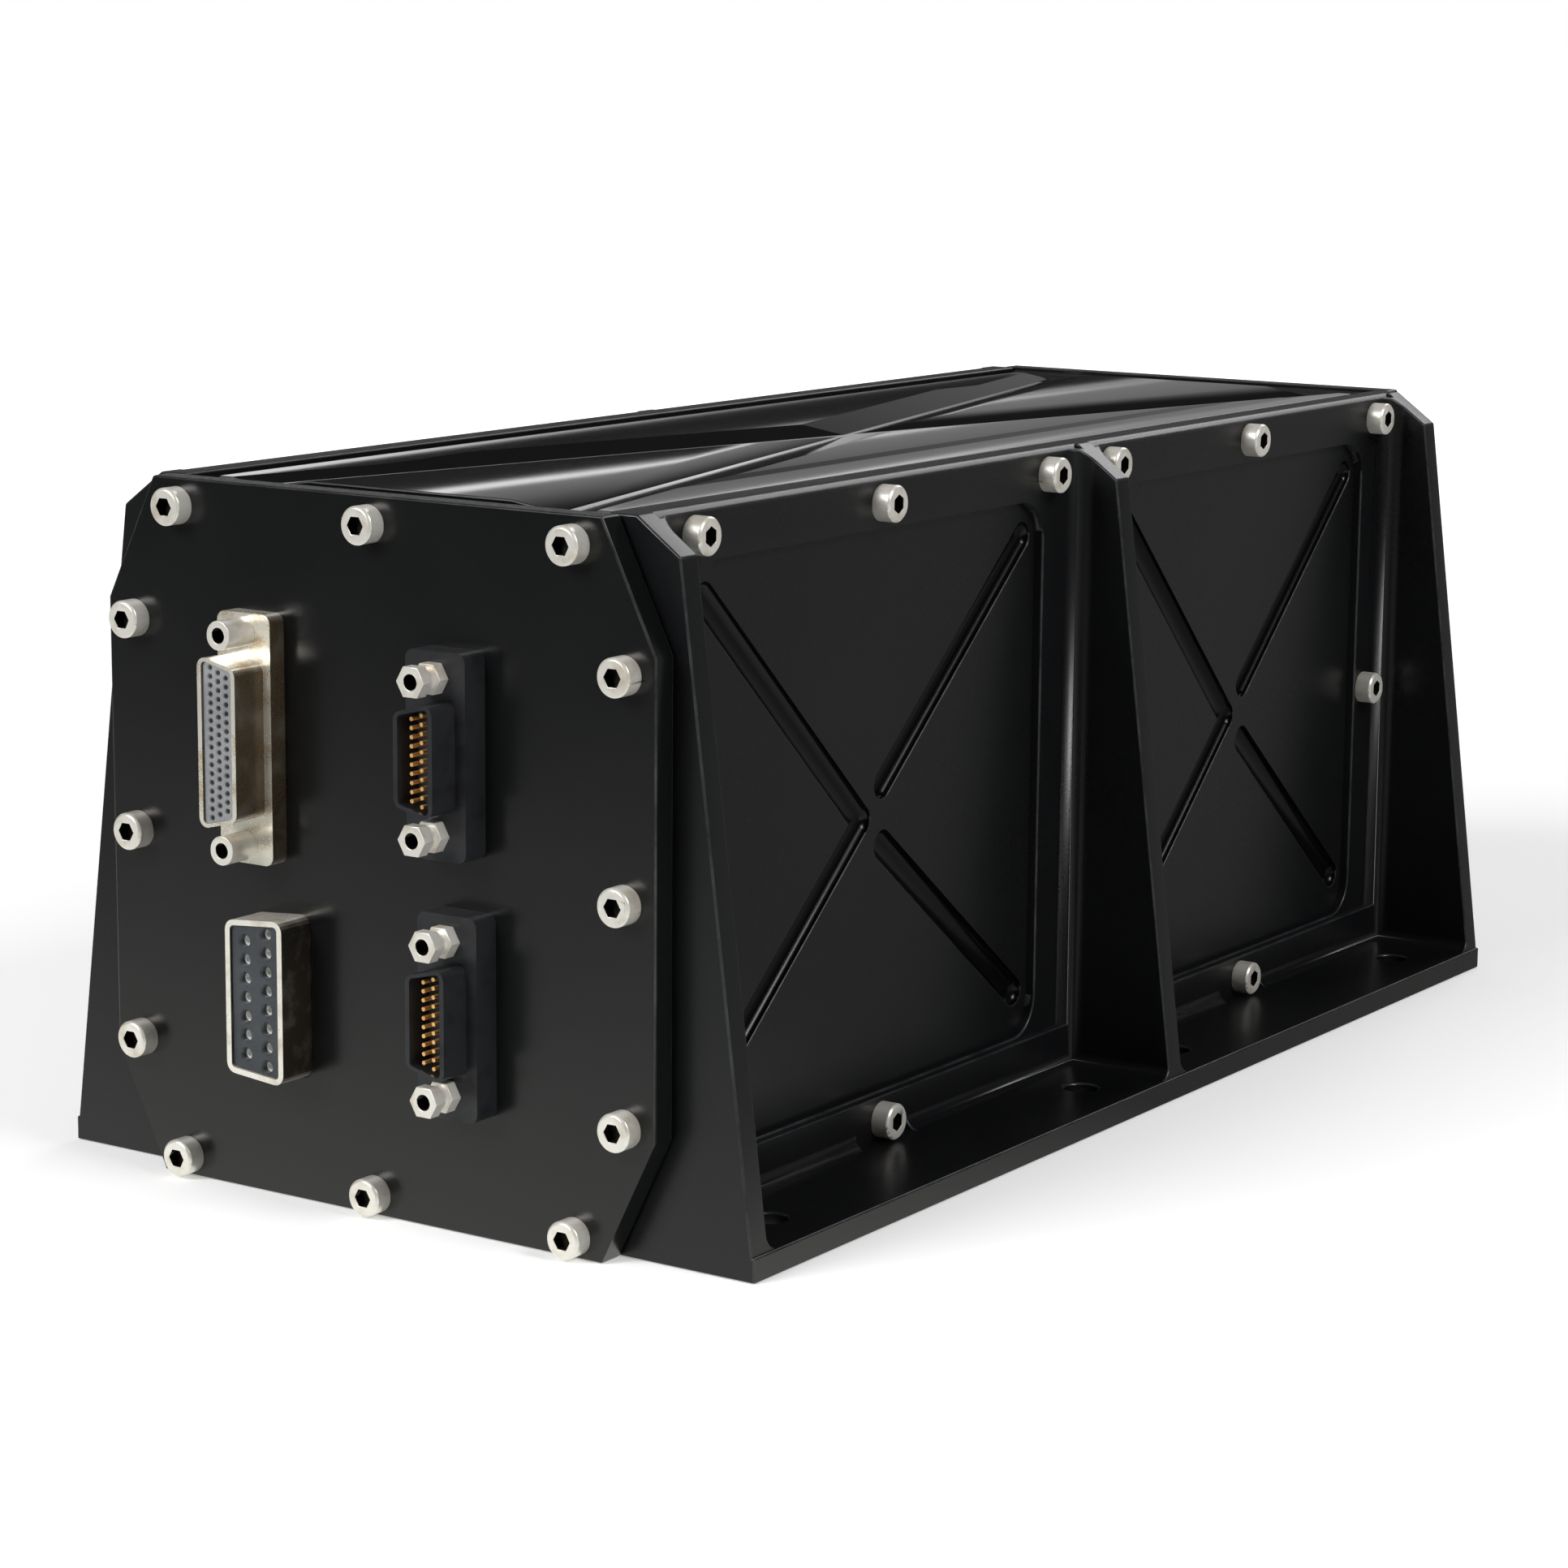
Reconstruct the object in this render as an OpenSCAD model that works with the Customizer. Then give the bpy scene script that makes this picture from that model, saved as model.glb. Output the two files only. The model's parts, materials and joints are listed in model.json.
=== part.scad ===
/* [Chassis] */
// Length of the chassis from the front frame face to the rear frame face
chassis_length = 232.4; // [225:0.2:260]
// Height of the side rails above the base plane
chassis_height = 103.3; // [101:0.1:110]
// Width across the outer edges of the base flanges
base_width = 125.2; // [122:0.2:150]
// Width across the outer faces of the side rails
rail_span = 85.4; // [85:0.2:88]
// Width of the cavity between the side walls
cavity_width = 76; // [74:0.2:77]
// Thickness of the base flanges
flange_thickness = 3.5; // [2.6:0.1:3.7]
// Thickness of the front frame, the rear frame and the middle gussets
gusset_thickness = 4; // [3.2:0.1:6]
// Distance of the middle gussets behind the centre of the length
mid_gusset_offset = 3; // [-4:0.5:6]
// Width across the shoulders of the gussets
shoulder_width = 99.8; // [96:0.2:104]
// Drop of the gusset shoulders below the rail tops
shoulder_drop = 5.2; // [3:0.1:7]
// Radius of the upright fillets between walls and gussets
corner_fillet = 4; // [2:0.1:4]
// Radius of the fillets along the foot of the walls and gussets
foot_fillet = 2.4; // [1:0.1:3]
// Width of the break in the wall foot fillet at each bottom cover screw
spot_width = 14; // [8:0.5:20]
// Chamfer on the outer top edge of the side rails
rail_chamfer = 0.7; // [0.3:0.1:1.2]
// Height of the frame bar above the openings in the front and rear frames
frame_lintel = 8.8; // [8.4:0.1:12]
// Drop of the end frame tops below the rail tops
lintel_drop = 1.2; // [0.6:0.1:1.6]
// Height of the lower edge of the frame openings above the base
frame_opening_sill = 8; // [6.5:0.1:8.5]
// Corner radius of the frame openings
frame_opening_radius = 4; // [2:0.5:8]

/* [Side panels] */
// Depth of the recessed panel in each bay
pocket_depth = 1.6; // [1:0.1:1.8]
// Corner radius of the recessed panels
pocket_radius = 6; // [3:0.5:8]
// Distance from a gusset face to the end of the recessed panel
pocket_margin = 10; // [9.6:0.2:14]
// Height of the foot of the recessed panel above the ledge
pocket_lift = 0.4; // [0.2:0.1:2]
// Height of the plain strip above each recessed panel
strip_height = 7.8; // [7:0.1:10]
// Height of the ledge strip above the flange
ledge_height = 6.6; // [6.2:0.1:9]
// Projection of the ledge strip beyond the rail face
ledge_proud = 1.2; // [0.6:0.1:2]
// Width of the broken X grooves
groove_width = 4.6; // [3:0.1:5]
// Depth of the broken X grooves
groove_depth = 1.5; // [0.6:0.1:1.6]
// Inset of the groove ends from the ends of the panel
groove_end_inset = 4; // [3:0.1:8]
// Inset of the upper groove ends below the top of the panel
groove_top_inset = 5.6; // [4:0.1:10]
// Inset of the lower groove ends above the foot of the panel
groove_foot_inset = 7; // [4:0.1:10]
// Height of the elbow of the broken X above the foot of the panel
groove_elbow_height = 41.6; // [30:0.2:52]
// Shift of the elbow ahead of the middle of the bay
groove_elbow_shift = 2; // [0:0.5:6]
// Distance from the elbow to the start of the two free grooves
groove_break = 7.4; // [6.4:0.1:14]

/* [Base mounting] */
// Diameter of the base mounting holes
mount_hole_diameter = 5.5; // [4.5:0.1:6]
// Distance of the base mounting holes from the flange edge
mount_edge_inset = 9.3; // [6:0.1:11]
// Distance of the base mounting holes from the gusset faces
mount_gusset_inset = 13; // [8:0.5:24]

/* [Covers] */
// Clearance of the covers inside the walls and frames
cover_clearance = 0.2; // [0.1:0.05:0.3]
// Drop of the top cover face below the rail tops
top_cover_drop = 0.1; // [0.1:0.1:1.2]
// Thickness of the top cover plate
top_cover_thickness = 4; // [3.4:0.1:5]
// Thickness of the side flanges of both covers
cover_flange_thickness = 4; // [3.4:0.1:5]
// Depth of the side flanges below the rail tops
top_flange_reach = 9.3; // [8:0.1:11]
// Depth of the relief cut into the top cover
relief_depth = 1.2; // [0.6:0.1:1.4]
// Width of the relief channels at the cover face
relief_mouth = 17; // [12:0.5:20]
// Width of the floor of the relief channels
relief_floor = 1; // [0.5:0.5:10]
// Distance of the relief channel ends from the middle of the cover
relief_end_offset = 27; // [22:0.5:30]
// Width of the raised middle field between the low side borders
relief_field_width = 50; // [44:0.5:58]
// Drop of the side borders below the raised middle field
border_drop = 0.4; // [0.2:0.1:0.7]
// Width of the slope between the middle field and the side borders
border_slope = 1.2; // [0.6:0.1:2]
// Width of the shadow steps along the sides of the top cover
step_width = 2.4; // [1.2:0.1:3]
// Depth of the shadow steps below the cover face
step_depth = 0.9; // [0.8:0.1:2]
// Thickness of the bottom cover plate
bottom_cover_thickness = 3; // [2:0.1:4]
// Lift of the bottom cover above the base plane
bottom_cover_lift = 0.4; // [0.2:0.1:1]
// Height of the top of the bottom cover flanges above the base
bottom_flange_height = 11; // [9.5:0.1:13]

/* [End plates] */
// Width of the end plates
plate_width = 98.4; // [97:0.2:102]
// Thickness of the end plates
plate_thickness = 4; // [3:0.1:5]
// Width of the corner cuts of the end plates
plate_cut_width = 9; // [4:0.2:10]
// Height of the corner cuts of the end plates
plate_cut_height = 18.3; // [10:0.1:19]
// Thickness of the gaskets behind the end plates
gasket_thickness = 0.5; // [0.3:0.1:1]
// Inset of the gasket edge from the plate edge
gasket_inset = 0.6; // [0.3:0.1:1.5]

/* [Screws] */
// Diameter of the socket screw heads
head_diameter = 5.5; // [5:0.1:5.8]
// Height of the socket screw heads
head_height = 3; // [2.4:0.1:3.4]
// Diameter of the screw shanks
shank_diameter = 3; // [2.5:0.1:3.2]
// Width across flats of the hexagon sockets
socket_flats = 2.5; // [2:0.1:2.8]
// Depth of the hexagon sockets
socket_depth = 1.6; // [1:0.1:2]
// Chamfer round the top of the screw heads
head_chamfer = 0.35; // [0.1:0.05:0.6]
// Clearance between screw shanks and tapped holes
tap_clearance = 0.1; // [0.06:0.02:0.2]
// Clearance between screw shanks and through holes
through_clearance = 0.4; // [0.2:0.05:0.8]
// Distance of the end screws of the rows from the plate corners
row_corner_inset = 4.7; // [4.4:0.1:8]
// Inset of the upper plate screws and cover screws below the rail tops
upper_screw_inset = 4; // [3.6:0.1:4.4]
// Height of the lower plate screws above the base
lower_screw_height = 3; // [2.9:0.1:3.6]
// Distance of the side plate screws from the plate edge
column_edge_inset = 5.1; // [4:0.1:5.4]
// Distance of the uppermost side plate screws below the plate top
column_top_inset = 21; // [20:0.1:26]
// Height of the lowest side plate screws above the base
column_foot_height = 19.7; // [18.5:0.1:26]
// Reach of the plate screws into the frame
plate_screw_reach = 3; // [2:0.1:3.1]
// Pitch of the cover screws from the middle of a bay
cover_screw_pitch = 47.5; // [40:0.5:48.5]
// Reach of the side screws into the cover flanges
side_screw_reach = 3; // [2:0.1:3.2]
// Height of the bottom cover screws above the flange
bottom_screw_lift = 3.1; // [3:0.05:3.3]
// Distance of the carrier screws from the rear frame
carrier_screw_inset = 7; // [6.9:0.1:7.2]

/* [Large port] */
// Sideways place of the large port
large_port_x = -20.7; // [-23:0.1:-20]
// Height of the large port above the base
large_port_z = 67.3; // [66:0.1:70]
// Width of the face of the large port
large_port_width = 7; // [6.5:0.1:7.6]
// Height of the face of the large port
large_port_height = 25.2; // [25:0.1:26]
// Projection of the face of the large port from the plate
large_port_reach = 9; // [7:0.1:10]
// Distance between the jackposts of the large port
large_port_span = 30.86; // [30.4:0.1:31.4]
// Width of the flange of the large port
large_flange_width = 9.8; // [9:0.1:11]
// Reach of the flange of the large port beyond its jackpost axes
large_flange_overhang = 2.67; // [2.55:0.01:3.6]
// Thickness of the flange of the large port
large_flange_thickness = 3; // [2:0.1:4]
// Number of contacts in the longest column of the large port
large_column_count = 18; // [16:1:18]

/* [Small ports] */
// Sideways place of the upper small port
upper_port_x = 15.1; // [12:0.1:18]
// Height of the upper small port
upper_port_z = 68.8; // [68:0.1:72]
// Sideways place of the lower small port
lower_port_x = 16.8; // [12:0.1:18]
// Height of the lower small port
lower_port_z = 32.2; // [30:0.1:34]
// Width of the face of the small ports
small_port_width = 6.8; // [6.5:0.1:7.4]
// Height of the face of the small ports
small_port_height = 16.4; // [16.2:0.1:16.8]
// Projection of the face of the small ports from the plate
small_port_reach = 9.4; // [8:0.1:10]
// Distance between the jackposts of the small ports
small_port_span = 21.97; // [21.8:0.1:23]
// Width of the flange of the small ports
small_flange_width = 10.4; // [9:0.1:11]
// Reach of the flange of the small ports beyond their jackpost axes
small_flange_overhang = 3.6; // [2.6:0.1:4]
// Thickness of the flange of the small ports
small_flange_thickness = 4.4; // [3:0.1:5]
// Number of pins in the longer column of the small ports
small_column_count = 11; // [9:1:11]
// Distance between the pin columns of the small ports
small_column = 1.75; // [1.3:0.05:1.9]
// Depth of the pin well in the small ports
pin_well_depth = 4.4; // [3:0.1:4.8]
// Drop of the pin tips below the shell edge
pin_tip_drop = 0.9; // [0.6:0.1:2.4]

/* [Port details] */
// Wall of the shells of the large and small ports
port_wall = 0.75; // [0.5:0.05:0.85]
// Corner radius of the port shells
port_radius = 1.4; // [1.3:0.1:1.6]
// Slant of the ends of the port faces in degrees
port_slant = 14; // [8:0.5:16]
// Contact pitch along the columns of the large and small ports
fine_pitch = 1.27; // [1.2:0.01:1.27]
// Distance between the columns of the large port
fine_column = 1.45; // [1.3:0.05:1.5]
// Diameter of the contact holes of the large port
fine_hole = 0.75; // [0.7:0.05:0.8]
// Diameter of the countersinks of the large port
fine_sink = 1; // [0.9:0.05:1.1]
// Diameter of the pins and contacts of the large and small ports
fine_contact = 0.6; // [0.5:0.05:0.6]
// Drop of the socket inserts below the shell edge
insert_drop = 0.4; // [0.2:0.1:0.8]
// Drop of the contacts of the socket ports below the insert face
contact_drop = 0.9; // [0.6:0.1:1.2]
// Clearance round inserts and contacts
port_clearance = 0.05; // [0.03:0.01:0.1]
// Width of the jackposts across flats or diameter
jackpost_width = 4.2; // [4:0.1:4.3]
// Projection of the jackposts beyond the flange
jackpost_reach = 5.4; // [4:0.1:6]
// Height of each hexagon of the small jackposts
jackpost_hex = 1.9; // [1:0.1:2.2]
// Diameter of the neck of the small jackposts
jackpost_neck = 3.4; // [3:0.1:3.8]
// Diameter of the jackpost bores
jackpost_bore = 2.3; // [2.2:0.1:2.6]
// Depth of the jackpost bores
jackpost_bore_depth = 3.6; // [2:0.1:3.8]
// Diameter of the jackpost studs
jackpost_stud = 1.7; // [1.5:0.1:1.8]
// Reach of the jackpost studs into the plate
jackpost_stud_reach = 2.2; // [1.5:0.1:2.4]

/* [Wide port] */
// Sideways place of the wide port
wide_port_x = -17; // [-19:0.1:-15]
// Height of the wide port above the base
wide_port_z = 30.2; // [29:0.1:31]
// Width of the face of the wide port
wide_port_width = 10.6; // [10:0.1:11.6]
// Height of the face of the wide port
wide_port_height = 24.2; // [23.8:0.1:25]
// Projection of the wide port from the plate
wide_port_reach = 6.2; // [5:0.1:7]
// Wall of the shell of the wide port
wide_wall = 0.9; // [0.5:0.05:1]
// Corner radius of the shell of the wide port
wide_radius = 1.6; // [1.5:0.1:2.2]
// Slant of the ends of the wide port in degrees
wide_slant = 5; // [4:0.5:10]
// Number of contacts in the longer column of the wide port
wide_column_count = 8; // [7:1:8]
// Contact pitch of the wide port
wide_pitch = 2.77; // [2.6:0.01:2.77]
// Distance between the columns of the wide port
wide_column = 3.9; // [3:0.05:4]
// Diameter of the contact holes of the wide port
wide_hole = 1.7; // [1.5:0.05:1.9]
// Diameter of the countersinks of the wide port
wide_sink = 2.2; // [2:0.05:2.4]
// Bore of the contacts of the wide port
wide_bore = 1.05; // [0.9:0.05:1.15]
// Width of the flange behind the plate
wide_flange_width = 15; // [14:0.1:16]
// Height of the flange behind the plate
wide_flange_height = 33; // [31:0.1:34]
// Thickness of the flange behind the plate
wide_flange_thickness = 1; // [0.8:0.1:1.5]

/* [Boards] */
// Thickness of all circuit boards
board_thickness = 1.6; // [1.2:0.1:2]
// Gap between the front plate and the interface board
interface_gap = 8; // [7:0.1:10]
// Width of the interface board and the backplane
upright_board_width = 72; // [70:0.5:73]
// Gap between the upright boards and the foot of the top cover flanges
upright_board_headroom = 3; // [1:0.1:4]
// Height of the lower edge of the interface board and the backplane
upright_board_sill = 13; // [12:0.5:14]
// Width across flats of the interface board spacers
spacer_flats = 5; // [4.5:0.1:5.5]
// Inset of the spacers from the edges of the interface board
spacer_inset = 4.5; // [4:0.1:5]
// Diameter of the spacer studs and board screws
board_screw_diameter = 2.5; // [2:0.1:2.6]
// Reach of the spacer studs and board screws
board_screw_reach = 2.8; // [2:0.1:2.9]
// Head diameter of the board screws
board_head_diameter = 4.5; // [4:0.1:5]
// Head height of the board screws
board_head_height = 1.7; // [1.2:0.1:2]
// Height of the lowest card above the base
card_level = 26; // [25:0.5:28]
// Pitch of the three cards
card_pitch = 25; // [23:0.5:25.5]
// Depth of the slots in the card guides
card_slot_depth = 2.4; // [1.8:0.1:2.8]
// Play of the cards in their slots
card_play = 0.1; // [0.05:0.01:0.2]
// Width of the card guides
guide_width = 5; // [4.5:0.1:6]
// Height of the card guides
guide_height = 6; // [5:0.1:8]
// Gap between the card guides and the card sockets
guide_end_gap = 5; // [3:0.5:12]
// Length of the card sockets
socket_length = 50; // [40:0.5:54]
// Depth of the card sockets
socket_reach = 10; // [8:0.5:12]
// Height of the card sockets
socket_height = 8; // [6:0.5:10]
// Reach of the card edges into the sockets
card_edge_reach = 6; // [4:0.5:7]
// Depth of the backplane carrier bar
carrier_depth = 12; // [10.5:0.5:13]
// Height of the backplane carrier bar
carrier_height = 10; // [8:0.5:14]
// Gap between the carrier bar and the rear frame
carrier_gap = 2; // [1:0.1:3]
// Depth of the tapped holes in the carrier bar
carrier_tap_depth = 6; // [5:0.1:8]
// Distance of the backplane screws from the middle
backplane_screw_offset = 31; // [29:0.5:32]

/* [Board parts] */
// Side of the processor package
processor_side = 31; // [20:0.5:40]
// Height of the processor package
processor_height = 3.2; // [2:0.1:5]
// Length of a memory package
memory_length = 12; // [9:0.5:16]
// Width of a memory package
memory_width = 8; // [6:0.5:10]
// Height of a memory package
memory_height = 1.2; // [0.8:0.1:2]
// Number of memory packages in the row
memory_count = 4; // [2:1:5]
// Pitch of the memory packages
memory_pitch = 12; // [11:0.5:14]
// Diameter of the power coils
coil_diameter = 13; // [9:0.5:16]
// Height of the power coils
coil_height = 7; // [5:0.5:10]
// Pitch of the power coils
coil_pitch = 22; // [18:0.5:28]

/* [Hidden] */
$fn = 48;
cut = 1;
fillet_root = 0.5;
fillet_ease = 0.05;
arc_steps = 5;
half_length = chassis_length / 2;
rail_half = rail_span / 2;
cavity_half = cavity_width / 2;
base_half = base_width / 2;
shoulder_half = shoulder_width / 2;
inner_end = half_length - gusset_thickness;
frame_opening_height = chassis_height - frame_lintel - frame_opening_sill;
mid_front = mid_gusset_offset - gusset_thickness / 2;
mid_rear = mid_gusset_offset + gusset_thickness / 2;
bays = [[-inner_end, mid_front], [mid_rear, inner_end]];
fillet_top = chassis_height - rail_chamfer;
panel_face = rail_half - pocket_depth;
ledge_face = rail_half + ledge_proud;
ledge_top = flange_thickness + ledge_height;
pocket_foot = ledge_top + pocket_lift;
pocket_top = chassis_height - strip_height;
upper_screw_height = chassis_height - upper_screw_inset;
bottom_screw_height = flange_thickness + bottom_screw_lift;
mount_x = base_half - mount_edge_inset;
mount_rows = [for (bay = bays) each [bay[0] + mount_gusset_inset, bay[1] - mount_gusset_inset]];
tap_diameter = shank_diameter + tap_clearance;
through_diameter = shank_diameter + through_clearance;
frame_tap_depth = plate_screw_reach + tap_clearance;
cover_half = cavity_half - cover_clearance;
cover_end = inner_end - cover_clearance;
cover_top = chassis_height - top_cover_drop;
gasket_front = half_length + gasket_thickness;
plate_front = gasket_front + plate_thickness;
plate_screw_length = plate_thickness + gasket_thickness + plate_screw_reach;
upper_screw_length = rail_half - cover_half + side_screw_reach;
bottom_screw_length = ledge_face - cover_half + side_screw_reach;
cover_screw_rows = [for (bay = bays, i = [-1:1]) (bay[0] + bay[1]) / 2 + i * cover_screw_pitch];
bottom_screw_rows = [for (bay = bays) (bay[0] + bay[1]) / 2];
carrier_screw_y = inner_end - carrier_screw_inset;
carrier_screw_z = card_level + card_pitch;
row_pitch = plate_width / 2 - plate_cut_width - row_corner_inset;
column_offset = plate_width / 2 - column_edge_inset;
column_pitch = (chassis_height - column_top_inset - column_foot_height) / 2;
plate_points = concat(
  [for (i = [-1:1]) [i * row_pitch, upper_screw_height]],
  [for (i = [-1:1]) [i * row_pitch, lower_screw_height]],
  [for (s = [-1, 1], i = [0:2]) [s * column_offset, column_foot_height + i * column_pitch]]
);
upright_board_height = chassis_height - top_flange_reach - upright_board_headroom - upright_board_sill;
interface_front = -gasket_front + interface_gap;
interface_rear = interface_front + board_thickness;
carrier_rear = inner_end - carrier_gap;
backplane_rear = carrier_rear - carrier_depth;
backplane_front = backplane_rear - board_thickness;
card_levels = [card_level, card_level + card_pitch, card_level + 2 * card_pitch];
card_front = interface_rear + socket_reach - card_edge_reach;
card_rear = backplane_front - socket_reach + card_edge_reach;
card_half = cavity_half - guide_width + card_slot_depth - card_play;
guide_front = interface_rear + socket_reach + guide_end_gap;
guide_rear = backplane_front - socket_reach - guide_end_gap;
spacer_x = upright_board_width / 2 - spacer_inset;
spacer_rows = [upright_board_sill + spacer_inset, upright_board_sill + upright_board_height - spacer_inset];
spacer_points = [for (s = [-1, 1], z = spacer_rows) [s * spacer_x, z]];
backplane_points = [for (s = [-1, 1]) [s * backplane_screw_offset, carrier_screw_z]];
board_tap = board_screw_diameter + tap_clearance;
stud_tap = jackpost_stud + tap_clearance;
insert_tail = plate_thickness + interface_gap;
large_flange_height = large_port_span + 2 * large_flange_overhang;
small_flange_height = small_port_span + 2 * small_flange_overhang;
small_ports = [[upper_port_x, upper_port_z], [lower_port_x, lower_port_z]];

function unit(v) = v / norm(v);
function arc_at(a, b, c, r) = let (
  u = unit(a - b),
  w = unit(c - b),
  half = acos(u * w) / 2,
  o = b + unit(u + w) * (r / sin(half)),
  s = b + u * (r / tan(half)) - o,
  e = b + w * (r / tan(half)) - o,
  from = atan2(s[1], s[0]),
  turn = (atan2(e[1], e[0]) - from + 540) % 360 - 180
) [for (i = [0:arc_steps]) o + r * [cos(from + turn * i / arc_steps), sin(from + turn * i / arc_steps)]];
function rounded(p, r) = let (n = len(p))
  [for (i = [0:n - 1]) each arc_at(p[(i + n - 1) % n], p[i], p[(i + 1) % n], r)];
function d_points(w, h, a) = let (d = w * tan(a))
  [[w / 2, -h / 2], [w / 2, h / 2], [-w / 2, h / 2 - d], [-w / 2, d - h / 2]];
function column(x, n, pitch) = [for (i = [0:n - 1]) [x, (i - (n - 1) / 2) * pitch]];
function large_grid() = concat(
  column(fine_column, large_column_count, fine_pitch),
  column(0, large_column_count - 1, fine_pitch),
  column(-fine_column, large_column_count - 2, fine_pitch)
);
function small_grid() = concat(
  column(small_column / 2, small_column_count, fine_pitch),
  column(-small_column / 2, small_column_count - 1, fine_pitch)
);
function wide_grid() = concat(
  column(wide_column / 2, wide_column_count, wide_pitch),
  column(-wide_column / 2, wide_column_count - 1, wide_pitch)
);

module prism_x(from, to) {
  translate([from, 0, 0]) rotate([90, 0, 90]) linear_extrude(to - from) children();
}
module prism_y(from, to) {
  translate([0, to, 0]) rotate([90, 0, 0]) linear_extrude(to - from) children();
}
module both_sides() {
  children();
  mirror([1, 0, 0]) children();
}
module round_rect(w, h, r) {
  square([w - 2 * r, h], center = true);
  square([w, h - 2 * r], center = true);
  for (sx = [-1, 1], sy = [-1, 1]) translate([sx * (w / 2 - r), sy * (h / 2 - r)]) circle(r);
}
module slot(p, q, w) {
  run = norm(q - p);
  translate(p) rotate(atan2(q[1] - p[1], q[0] - p[0])) {
    circle(d = w);
    translate([run, 0]) circle(d = w);
    translate([0, -w / 2]) square([run, w]);
  }
}
module fillet_corner(r) {
  difference() {
    translate([-fillet_root, -fillet_root]) square(r + fillet_root);
    translate([r, r]) circle(r + fillet_ease);
  }
}
module frame_outline() {
  polygon([
    [-rail_half, chassis_height], [rail_half, chassis_height],
    [shoulder_half, chassis_height - shoulder_drop], [base_half, 0],
    [-base_half, 0], [-shoulder_half, chassis_height - shoulder_drop]
  ]);
}
module wall_profile() {
  polygon([
    [cavity_half, 0], [ledge_face, 0], [ledge_face, ledge_top], [rail_half, ledge_top],
    [rail_half, chassis_height - rail_chamfer], [rail_half - rail_chamfer, chassis_height],
    [cavity_half, chassis_height]
  ]);
}
module foot_strip() {
  difference() {
    prism_y(-half_length, half_length) translate([ledge_face, flange_thickness]) fillet_corner(foot_fillet);
    for (y = bottom_screw_rows) translate([ledge_face, y - spot_width / 2, flange_thickness])
      cube([foot_fillet + cut, spot_width, foot_fillet + cut]);
  }
}
module bay_fillets() {
  intersection() {
    prism_y(-half_length, half_length) frame_outline();
    for (bay = bays) {
      translate([rail_half, bay[0], 0]) linear_extrude(fillet_top) fillet_corner(corner_fillet);
      translate([rail_half, bay[1], 0]) mirror([0, 1, 0])
        linear_extrude(fillet_top) fillet_corner(corner_fillet);
      prism_x(rail_half, base_half) translate([bay[0], flange_thickness]) fillet_corner(foot_fillet);
      prism_x(rail_half, base_half) translate([bay[1], flange_thickness]) mirror([1, 0])
        fillet_corner(foot_fillet);
    }
  }
}
module bay_pocket(bay) {
  mid = (bay[0] + bay[1]) / 2;
  width = bay[1] - bay[0] - 2 * pocket_margin;
  height = pocket_top - pocket_foot;
  reach = width / 2 - groove_end_inset;
  elbow = [mid - groove_elbow_shift, pocket_foot + groove_elbow_height];
  prism_x(panel_face, rail_half + cut) translate([mid, pocket_foot + height / 2])
    round_rect(width, height, pocket_radius);
  prism_x(panel_face - groove_depth, panel_face + cut) {
    for (z = [pocket_top - groove_top_inset, pocket_foot + groove_foot_inset]) {
      slot([mid - reach, z], elbow, groove_width);
      slot([mid + reach, z], elbow + groove_break * unit([mid + reach, z] - elbow), groove_width);
    }
  }
}
module side_hole(y, z, d) {
  translate([cavity_half - cut, y, z]) rotate([0, 90, 0]) cylinder(h = rail_half, d = d);
}
module side_holes() {
  for (y = cover_screw_rows) side_hole(y, upper_screw_height, through_diameter);
  for (y = bottom_screw_rows) side_hole(y, bottom_screw_height, through_diameter);
  side_hole(carrier_screw_y, carrier_screw_z, through_diameter);
}
module plate_holes(d, depth) {
  for (p = plate_points) translate([p[0], 0, p[1]]) rotate([90, 0, 0]) cylinder(h = depth, d = d);
}
module chassis() {
  color("dimgray") difference() {
    union() {
      both_sides() {
        translate([cavity_half, -half_length, 0])
          cube([base_half - cavity_half, chassis_length, flange_thickness]);
        prism_y(-half_length, half_length) wall_profile();
        foot_strip();
        bay_fillets();
      }
      for (y = [-half_length, mid_front, inner_end]) prism_y(y, y + gusset_thickness) frame_outline();
    }
    translate([-cavity_half, -inner_end, -cut])
      cube([cavity_width, 2 * inner_end, chassis_height + 2 * cut]);
    translate([-cavity_half, -half_length - cut, chassis_height - lintel_drop])
      cube([cavity_width, chassis_length + 2 * cut, lintel_drop + cut]);
    prism_y(-half_length - cut, half_length + cut)
      translate([0, frame_opening_sill + frame_opening_height / 2])
        round_rect(cavity_width, frame_opening_height, frame_opening_radius);
    both_sides() {
      for (bay = bays) bay_pocket(bay);
      side_holes();
      for (y = mount_rows) translate([mount_x, y, -cut])
        cylinder(h = flange_thickness + 2 * cut, d = mount_hole_diameter);
    }
    translate([0, frame_tap_depth - half_length, 0]) plate_holes(tap_diameter, frame_tap_depth + cut);
    translate([0, half_length + cut, 0]) plate_holes(tap_diameter, frame_tap_depth + cut);
  }
}

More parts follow.
